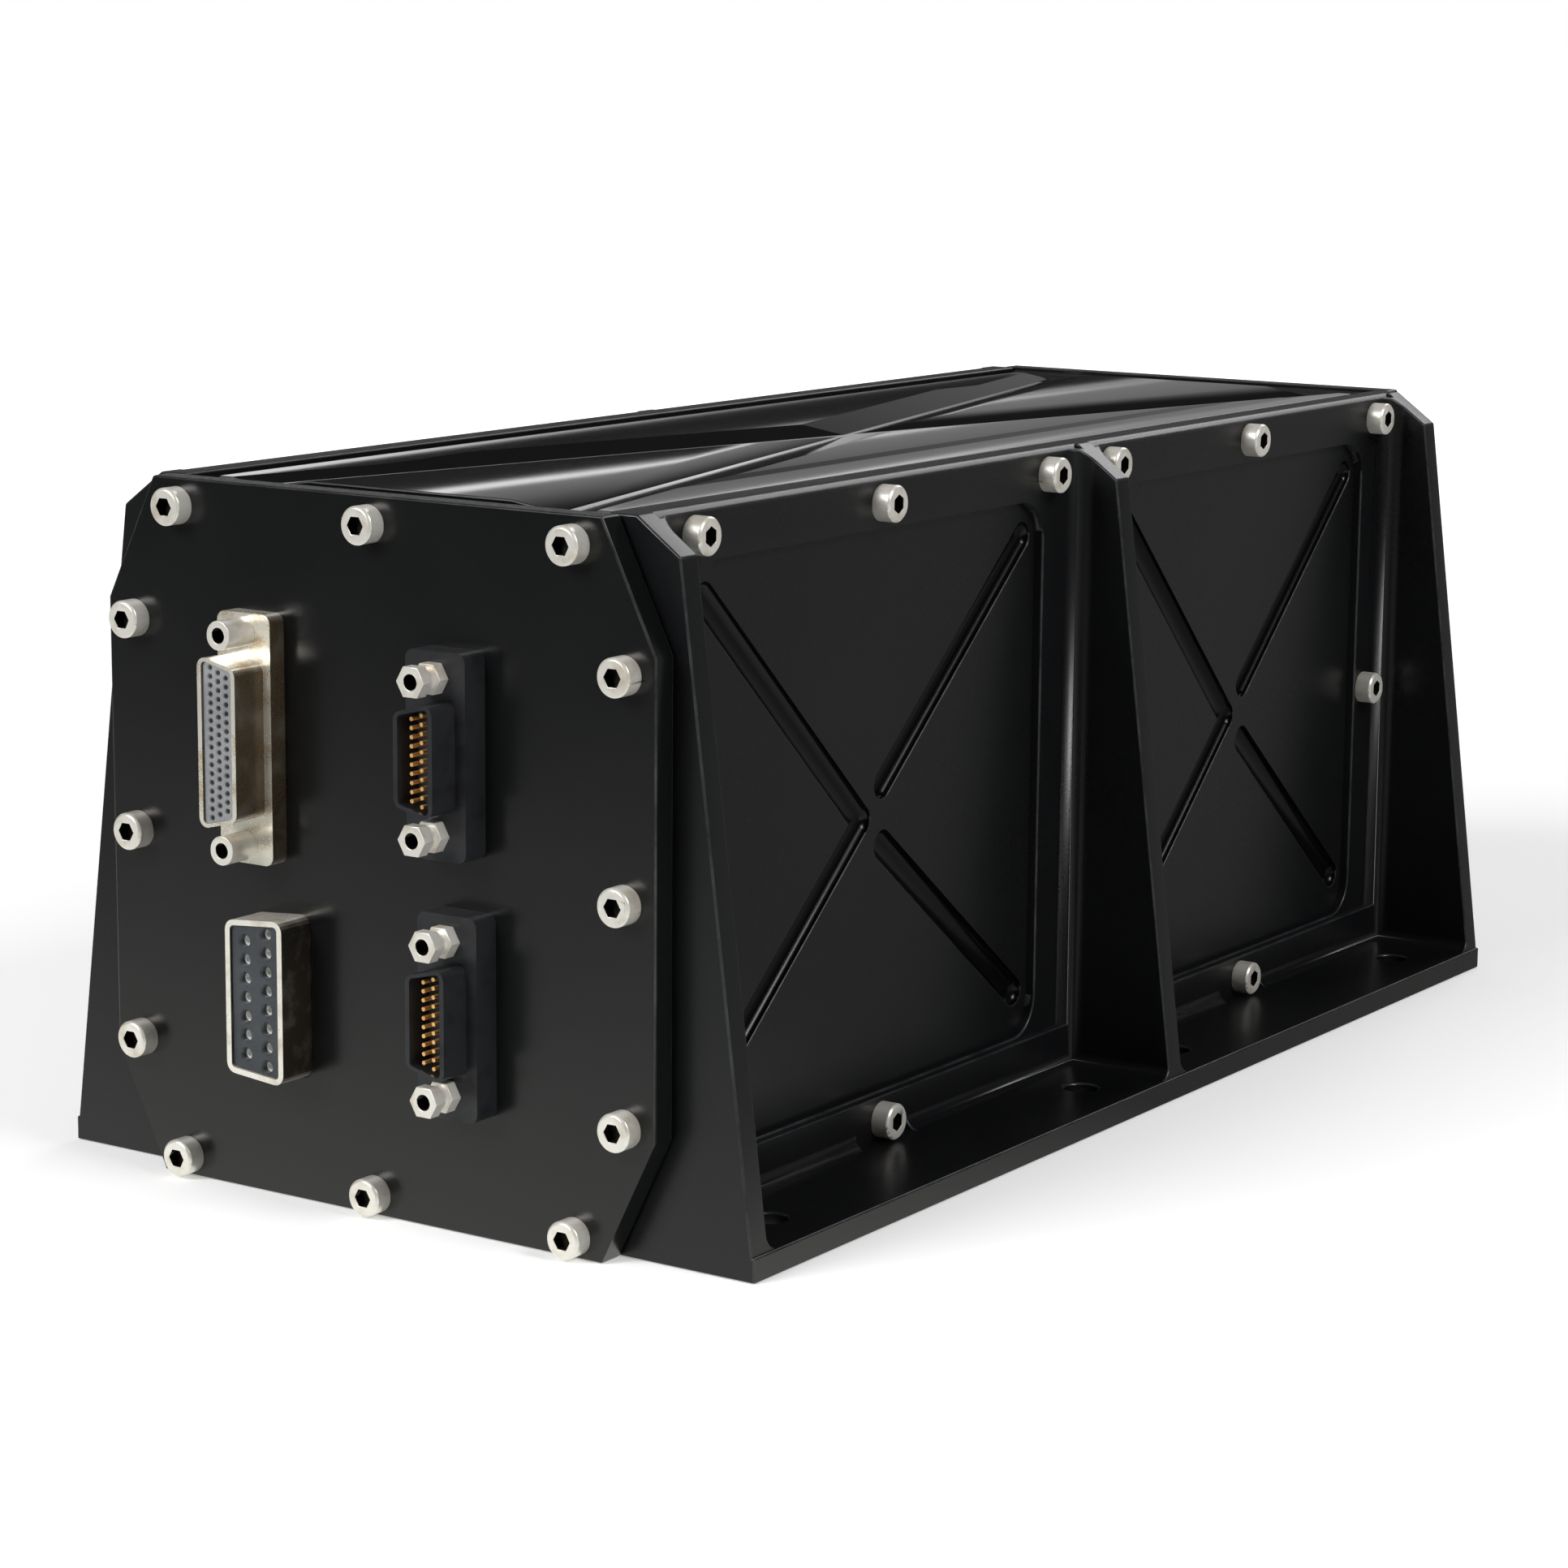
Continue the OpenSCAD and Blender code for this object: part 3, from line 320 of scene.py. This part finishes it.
# one finish for each material slot: its two colours, its roughness, then what sets it apart
finishes = {
    "chassis_anodise": anodise(
        "chassisAnodise", (0.0038, 0.004, 0.0047), (0.0068, 0.0072, 0.0082), 0.3, 0.4),
    "cover_anodise": anodise(
        "coverAnodise", (0.004, 0.0041, 0.0042), (0.007, 0.0072, 0.0073), 0.05, 0.4, bite=0.02),
    "plate_anodise": anodise(
        "plateAnodise", (0.0038, 0.0041, 0.0045), (0.006, 0.0065, 0.0068), 0.24, 0.5),
    "gasket_rubber": moulded(
        "gasketRubber", (0.004, 0.004, 0.004), (0.008, 0.008, 0.008), 0.7),
    "stainless": metal(
        "stainlessSteel", (0.90, 0.87, 0.80), (0.66, 0.58, 0.46), 0.34, metallic=0.5),
    # the flank colours of the two plug shells are painted shade on their sides
    "nickel_shell": metal(
        "champagneNickel", (0.94, 0.90, 0.80), (0.55, 0.42, 0.26), 0.26, metallic=0.65,
        stainFrom=0.48, paintedFlankShade=(0.14, 0.105, 0.065)),
    "tin_shell": metal(
        "tinPlate", (0.95, 0.92, 0.83), (0.62, 0.53, 0.40), 0.3, metallic=0.5,
        paintedFlankShade=(0.05, 0.04, 0.03)),
    "dark_shell": metal(
        "blackNickel", (0.04, 0.041, 0.045), (0.022, 0.023, 0.026), 0.34, metallic=0.5),
    "port_insert": moulded(
        "portInsert", (0.03, 0.034, 0.04), (0.06, 0.066, 0.075), 0.38),
    "gold_contact": metal(
        "goldPlate", (1.0, 0.60, 0.22), (0.85, 0.40, 0.12), 0.24, metallic=0.6),
    "board_laminate": laminate("boardLaminate"),
    "guide_plastic": moulded(
        "guidePlastic", (0.03, 0.03, 0.03), (0.05, 0.05, 0.05), 0.5),
    "socket_plastic": moulded(
        "socketPlastic", (0.012, 0.012, 0.012), (0.02, 0.02, 0.02), 0.45),
    "package_plastic": moulded(
        "packagePlastic", (0.01, 0.01, 0.01), (0.018, 0.018, 0.018), 0.55),
    "bare_aluminium": metal(
        "bareAluminium", (0.80, 0.80, 0.79), (0.66, 0.66, 0.65), 0.32,
        marks=0.0004, marksFiner=(1, 12, 1)),
}
# the same slots where a corner is broken: paler, as wear and as a painted highlight
edges = {
    "chassis_anodise": wornAndHighlitEdge("chassisEdge", (0.012, 0.013, 0.0145), (0.045, 0.047, 0.05), 0.36),
    "cover_anodise": wornAndHighlitEdge("coverEdge", (0.012, 0.0125, 0.013), (0.045, 0.046, 0.047), 0.36),
    "plate_anodise": wornAndHighlitEdge("plateEdge", (0.012, 0.0125, 0.0125), (0.05, 0.051, 0.05), 0.36),
}
# contacts and insert that differ from the others of their slot
ownLook = {
    "wide_port_contacts": metal(
        "tinnedContact", (0.95, 0.95, 0.93), (0.7, 0.7, 0.68), 0.3, metallic=0.3),
    "large_port_insert": moulded("paleInsert", (0.2, 0.21, 0.22), (0.34, 0.35, 0.36), 0.4),
}
# surfaces below the others, darkened with painted shade
sunken = {
    # groove faces: a darker base colour as painted shade, with lower specular and roughness
    "groove": anodise(
        "groovePaintedShade", (0.001, 0.001, 0.0012), (0.0022, 0.0023, 0.0026), 0.22, 0.24, bite=0.02),
    # socket and bore walls: dark metal as painted shade
    "paintedRecessShade": metal("recessShade", (0.05, 0.046, 0.04), (0.02, 0.018, 0.016), 0.5),
}
print("finishes made:", sum(len(group) for group in (finishes, edges, ownLook, sunken)))

slotOf = {part["node"]: part["material_slot"] for part in frame["record"]["subparts"]}
for name, node in nodes.items():
    node.data.materials.clear()
    node.data.materials.append(ownLook.get(name) or finishes[slotOf[name]])
print("CAD nodes dressed")

# angles in degrees
corners = {
    "sharper": 32,              # corners sharper than this are broken
    "under": -0.2,              # and those that face further down than this are left
    "segments": 2,
    "shade": 40,                # shading runs on up to this angle
    "merge": 0.000002,
    "flat": 0.6,                # faces closer to one plane than this become one
}


# marks the outer corners, leaving out inner corners and undersides, so the pale edge with its painted
# highlight stays off edges that face down
def markCorners(mesh):
    faces = {}
    for polygon in mesh.polygons:
        for key, loop in zip(polygon.edge_keys, polygon.loop_indices):
            faces.setdefault(key, []).append((polygon, mesh.loops[loop].vertex_index))
    weights = mesh.attributes.new("bevel_weight_edge", "FLOAT", "EDGE")
    for edge in mesh.edges:
        sides = faces.get(edge.key, [])
        if len(sides) != 2:
            continue
        (first, start), (second, _) = sides
        tip = edge.vertices[1] if edge.vertices[0] == start else edge.vertices[0]
        along = mesh.vertices[tip].co - mesh.vertices[start].co
        outer = first.normal.cross(second.normal).dot(along) > 0
        under = (first.normal + second.normal).z < corners["under"]
        sharp = first.normal.angle(second.normal, 0) > math.radians(corners["sharper"])
        if outer and sharp and not under:
            weights.data[edge.index].value = 1


def selectOnly(piece):
    bpy.ops.object.select_all(action="DESELECT")
    piece.select_set(True)
    bpy.context.view_layer.objects.active = piece


# breaks the marked corners of a piece and evens out its shading
def finishCorners(piece, width, shade=corners["shade"]):
    markCorners(piece.data)
    selectOnly(piece)
    bevel = piece.modifiers.new("broken", "BEVEL")
    bevel.width = width
    bevel.segments = corners["segments"]
    bevel.limit_method = "WEIGHT"
    bevel.use_clamp_overlap = False
    bevel.material = 1          # the worn edge with its painted highlight
    bpy.ops.object.modifier_apply(modifier=bevel.name)
    bpy.ops.object.shade_smooth_by_angle(angle=math.radians(shade))
    even = piece.modifiers.new("even", "WEIGHTED_NORMAL")
    even.keep_sharp = True
    bpy.ops.object.modifier_apply(modifier=even.name)
    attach(piece, "root")


# a copy of a CAD node with its corners broken as on the machined piece
def brokenEdges(name, piece, width, shade=corners["shade"]):
    mesh = nodes[name].data.copy()
    slot = slotOf[name]
    mesh.materials.clear()
    mesh.materials.append(finishes[slot])
    mesh.materials.append(edges.get(slot, finishes[slot]))
    copy = bpy.data.objects.new(piece, mesh)
    bpy.context.scene.collection.objects.link(copy)
    selectOnly(copy)
    bpy.ops.object.mode_set(mode="EDIT")
    bpy.ops.mesh.select_all(action="SELECT")
    bpy.ops.mesh.remove_doubles(threshold=corners["merge"])
    bpy.ops.mesh.dissolve_limited(angle_limit=math.radians(corners["flat"]))
    bpy.ops.object.mode_set(mode="OBJECT")
    finishCorners(copy, width, shade)
    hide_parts(name)
    return copy


# piece, width of its broken corners, and how far its shading runs on: the covers keep their flats
machined = {
    "chassis": ("chassisBody", 0.0003, 40),
    "top_cover": ("topCover", 0.00025, 4),
    "bottom_cover": ("bottomCover", 0.00025, 4),
    "front_plate": ("frontPlate", 0.0003, 40),
    "rear_plate": ("rearPlate", 0.0003, 40),
}
for name, (piece, width, shade) in machined.items():
    brokenEdges(name, piece, width, shade)
    print("corners broken:", piece)

# skins of the side panels, whose X grooves are run with a ball cutter and so have round floors
panels = {
    "slot": "chassis_anodise",
    # side, middle and width of each pocket
    "skins": {
        "frontPanelRight": (1, -0.0556, 0.0932),
        "rearPanelRight": (1, 0.0586, 0.0872),
        "frontPanelLeft": (-1, -0.0556, 0.0932),
        "rearPanelLeft": (-1, 0.0586, 0.0872),
    },
    "face": 0.04112,            # distance from the middle of the part
    "foot": 0.0105,
    "top": 0.0955,
    "thick": 0.0018,
    "lap": 0.001,               # hidden in the walls of the pocket
    "half": 0.0023,             # of the width of a groove
    "depth": 0.0015,
    "endInset": 0.004,
    "rows": (0.0175, 0.0899),   # heights of the lower and upper ends
    "elbow": (-0.002, 0.0521),  # where the unbroken arms meet, from the middle of the pocket
    "gap": 0.0074,              # from there to the broken arms
    "corner": 0.0002,
    "segments": 32,
    "rings": 24,
    "equator": 0.00002,         # just above the middle ring of the ball
}


# a ball drawn out along one groove and flattened to its depth, taken away from the panel
def cutGroove(panel, side, start, end):
    run = end - start
    bpy.ops.mesh.primitive_uv_sphere_add(
        segments=panels["segments"], ring_count=panels["rings"], radius=panels["half"])
    ball = bpy.context.object
    # the groove faces take the darker painted-shade finish
    ball.data.materials.append(sunken["groove"])
    bpy.ops.object.mode_set(mode="EDIT")
    bpy.ops.mesh.select_all(action="DESELECT")
    bpy.ops.object.mode_set(mode="OBJECT")
    for vertex in ball.data.vertices:
        vertex.select = vertex.co.z > panels["equator"]
    bpy.ops.object.mode_set(mode="EDIT")
    bpy.ops.transform.translate(value=(0, 0, run.length))
    bpy.ops.object.mode_set(mode="OBJECT")
    ball.location = (side * panels["face"], start.x, start.y)
    ball.rotation_euler = (math.atan2(-run.x, run.y), 0, 0)
    ball.scale = (panels["depth"] / panels["half"], 1, 1)
    selectOnly(panel)
    bpy.context.view_layer.update()
    groove = panel.modifiers.new("groove", "BOOLEAN")
    groove.operation = "DIFFERENCE"
    groove.object = ball
    groove.solver = "EXACT"
    groove.material_mode = "TRANSFER"
    bpy.ops.object.modifier_apply(modifier=groove.name)
    bpy.data.objects.remove(ball)


for piece, (side, middle, width) in panels["skins"].items():
    bpy.ops.object.select_all(action="DESELECT")
    bpy.ops.mesh.primitive_cube_add(size=1)
    panel = bpy.context.object
    panel.name = piece
    tall = panels["top"] - panels["foot"]
    panel.scale = (panels["thick"], width + 2 * panels["lap"], tall + 2 * panels["lap"])
    panel.location = (side * (panels["face"] - panels["thick"] / 2), middle, panels["foot"] + tall / 2)
    bpy.ops.object.transform_apply(location=True, rotation=True, scale=True)
    panel.data.materials.append(finishes[panels["slot"]])
    panel.data.materials.append(edges[panels["slot"]])
    elbow = Vector((middle + panels["elbow"][0], panels["elbow"][1]))
    reach = width / 2 - panels["endInset"]
    for row in panels["rows"]:
        far = Vector((middle + reach, row))
        cutGroove(panel, side, Vector((middle - reach, row)), elbow)
        cutGroove(panel, side, elbow + (far - elbow).normalized() * panels["gap"], far)
    finishCorners(panel, panels["corner"])
    print("grooves cut:", piece)

heads = {
    "corner": 0.0001,
    "deep": 0.004,              # sockets and bores end above this depth
    "rim": 0.00008,             # and begin below this one
    # piece, axis, and radius that takes in the socket or bore
    "sets": {
        "front_plate_screws": ("frontPlateScrews", 1, 0.0016),
        "rear_plate_screws": ("rearPlateScrews", 1, 0.0016),
        "cover_screws": ("coverScrews", 0, 0.0016),
        "bottom_cover_screws": ("bottomCoverScrews", 0, 0.0016),
        "carrier_screws": ("carrierScrews", 0, 0.0016),
        "large_port_jackposts": ("largePortPosts", 1, 0.00122),
        "upper_port_jackposts": ("upperPortPosts", 1, 0.00122),
        "lower_port_jackposts": ("lowerPortPosts", 1, 0.00122),
    },
}


# the faces of each separate screw or post in one mesh
def looseParts(mesh):
    lead = list(range(len(mesh.vertices)))

    def first(i):
        while lead[i] != i:
            lead[i] = lead[lead[i]]
            i = lead[i]
        return i

    for edge in mesh.edges:
        lead[first(edge.vertices[0])] = first(edge.vertices[1])
    groups = {}
    for polygon in mesh.polygons:
        groups.setdefault(first(polygon.vertices[0]), []).append(polygon)
    return groups.values()


# hexagon sockets and bores get painted shade: their walls take a dark metal finish
def shadeRecess(piece, axis, radius):
    mesh = piece.data
    mesh.materials.append(sunken["paintedRecessShade"])
    dark = len(mesh.materials) - 1
    across = [i for i in range(3) if i != axis]
    for faces in looseParts(mesh):
        points = [mesh.vertices[i].co for face in faces for i in face.vertices]
        middle = [(min(p[i] for p in points) + max(p[i] for p in points)) / 2 for i in range(3)]
        side = 1 if middle[axis] > 0 else -1
        front = max(side * p[axis] for p in points)
        for face in faces:
            places = [mesh.vertices[i].co for i in face.vertices]
            aside = max(math.hypot(*(co[k] - middle[k] for k in across)) for co in places)
            deepest = max(front - side * co[axis] for co in places)
            sunk = front - side * face.center[axis] > heads["rim"]
            if sunk and aside < radius and deepest < heads["deep"]:
                face.material_index = dark


for name, (piece, axis, radius) in heads["sets"].items():
    shadeRecess(brokenEdges(name, piece, heads["corner"]), axis, radius)
    print("heads finished:", piece)

# the photograph's viewpoint
cameraView = {
    "place": (0.36306, -0.5554, 0.16935),
    "right": (0.82811, 0.56051, 0.00815),
    "up": (-0.11052, 0.149, 0.98264),
    "lens": 93.857,
    "sensor": 36,
    "clip": (0.01, 100),
}
cameraData = bpy.data.cameras.new("photoCamera")
camera = bpy.data.objects.new("photoCamera", cameraData)
bpy.context.scene.collection.objects.link(camera)
right, up = Vector(cameraView["right"]), Vector(cameraView["up"])
turn = Matrix((right, up, right.cross(up))).transposed()
camera.matrix_world = Matrix.Translation(cameraView["place"]) @ turn.to_4x4()
cameraData.lens = cameraView["lens"]
cameraData.sensor_width = cameraView["sensor"]
cameraData.clip_start, cameraData.clip_end = cameraView["clip"]
bpy.context.scene.camera = camera
print("camera set")


# what the eye sees, also through glass, and what reflections see
def rayKinds(tree):
    straight = tree.add("ShaderNodeLightPath", out="Is Camera Ray")
    through = tree.add("ShaderNodeLightPath", out="Is Transmission Ray")
    return straight + through, tree.add("ShaderNodeLightPath", out="Is Glossy Ray")


paper = {
    "size": 40,
    "drop": 0.0002,             # below the foot of the part
    "colour": (0.86, 0.86, 0.86),
    "lift": (0.3, 1.0),         # glow for the eye only, near the part and far from it
    "liftSpan": (0.3, 1.3),
    # brightness in reflections along the depth of the set, from front to rear
    "front": -1.2,
    "rear": 0.3,
    "mirrored": ((0.0, 0.02), (0.4, 0.04), (0.62, 0.5), (0.72, 1.0), (0.8, 0.24), (1.0, 0.25)),
    "tint": (0.97, 1.0, 0.93),
}
bpy.ops.object.select_all(action="DESELECT")
bpy.ops.mesh.primitive_plane_add(size=paper["size"], location=(0, 0, cadBox[0].z - paper["drop"]))
floor = bpy.context.object
floor.name = "studioFloor"
material, tree = newFinish("studioPaper")
toEye, toGloss = rayKinds(tree)
spot = tree.add("ShaderNodeTexCoord", out="Object")
away = tree.add("ShaderNodeVectorMath", {"operation": "LENGTH"}, {0: spot}, out="Value")
lift = tree.ease(away, paper["liftSpan"], *paper["lift"])
depth = tree.add("ShaderNodeMapRange", None, {
    "Value": tree.part(spot, "Y"), "From Min": paper["front"], "From Max": paper["rear"]})
matt = tree.add("ShaderNodeBsdfDiffuse", None, {"Color": opaque(paper["colour"])})
glow = tree.add("ShaderNodeEmission", None, {"Color": toEye * lift})
plain = tree.add("ShaderNodeAddShader", None, {0: matt, 1: glow})
stops = [(at, [level * part for part in paper["tint"]]) for at, level in paper["mirrored"]]
mirrored = tree.add("ShaderNodeEmission", None, {"Color": tree.ramp(depth, *stops)})
both = tree.add("ShaderNodeMixShader", None, {0: toGloss, 1: plain, 2: mirrored})
tree.add("ShaderNodeOutputMaterial", None, {"Surface": both})
floor.data.materials.append(material)
print("floor laid")

# white to the eye; in reflections a bright band above the rear horizon, under a dim ceiling
backdrop = {
    "ambient": 0.2,             # light on the part from all round
    "white": 1.0,
    "slant": 0.12,              # of the foot and the fall, by how far to the side they are
    # spans of height where the band begins, falls, rises again and ends
    "foot": (0.02, 0.032),
    "fall": (0.043, 0.05),
    "rise": (0.101, 0.1085),
    "top": (0.125, 0.235),
    "high": 1.5,
    "low": 0.28,
    "dim": 0.05,                # left of it beyond its ends
    "sides": (0.1, 0.6),        # it fades towards the front of the set
}
world = bpy.data.worlds.new("studioWorld")
bpy.context.scene.world = world
world.use_nodes = True
tree = Tree(world.node_tree)
toEye, toGloss = rayKinds(tree)
way = tree.add("ShaderNodeTexCoord", out="Generated")
height = tree.part(way, "Z")
slanted = height + tree.part(way, "X") * backdrop["slant"]
foot = tree.ease(slanted, backdrop["foot"], backdrop["dim"], 1)
fall = tree.ease(slanted, backdrop["fall"], backdrop["high"], backdrop["low"])
rise = tree.ease(height, backdrop["rise"], backdrop["low"], 1)
top = tree.ease(height, backdrop["top"], 1, backdrop["dim"])
sides = tree.ease(tree.part(way, "Y"), backdrop["sides"], backdrop["dim"], 1)
dim = tree.add("ShaderNodeBackground", None, {"Color": (1, 1, 1, 1), "Strength": backdrop["ambient"]})
white = tree.add("ShaderNodeBackground", None, {"Color": (1, 1, 1, 1), "Strength": backdrop["white"]})
glow = tree.add("ShaderNodeBackground", None, {"Color": foot * fall * rise * top * sides})
mixed = tree.add("ShaderNodeMixShader", None, {0: toEye, 1: dim, 2: white})
mixed = tree.add("ShaderNodeMixShader", None, {0: toGloss, 1: mixed, 2: glow})
tree.add("ShaderNodeOutputWorld", None, {"Surface": mixed})
print("backdrop set")

lamps = {
    "aim": (0, 0, 0.05),
    # place, size and power
    "lights": {
        "keyLight": ((-0.5, -1.4, 1.0), 0.8, 22),
        "sideLight": ((1.5, -0.2, 1.2), 0.55, 16),
        "backLight": ((-0.05, 1.4, 1.05), 0.7, 6),
    },
}
for name, (place, size, power) in lamps["lights"].items():
    data = bpy.data.lights.new(name, "AREA")
    data.size = size
    data.energy = power
    light = bpy.data.objects.new(name, data)
    light.location = place
    light.rotation_mode = "QUATERNION"
    light.rotation_quaternion = (Vector(lamps["aim"]) - Vector(place)).to_track_quat("-Z", "Y")
    bpy.context.scene.collection.objects.link(light)
print("lamps hung")

bpy.context.scene.view_settings.view_transform = "Standard"
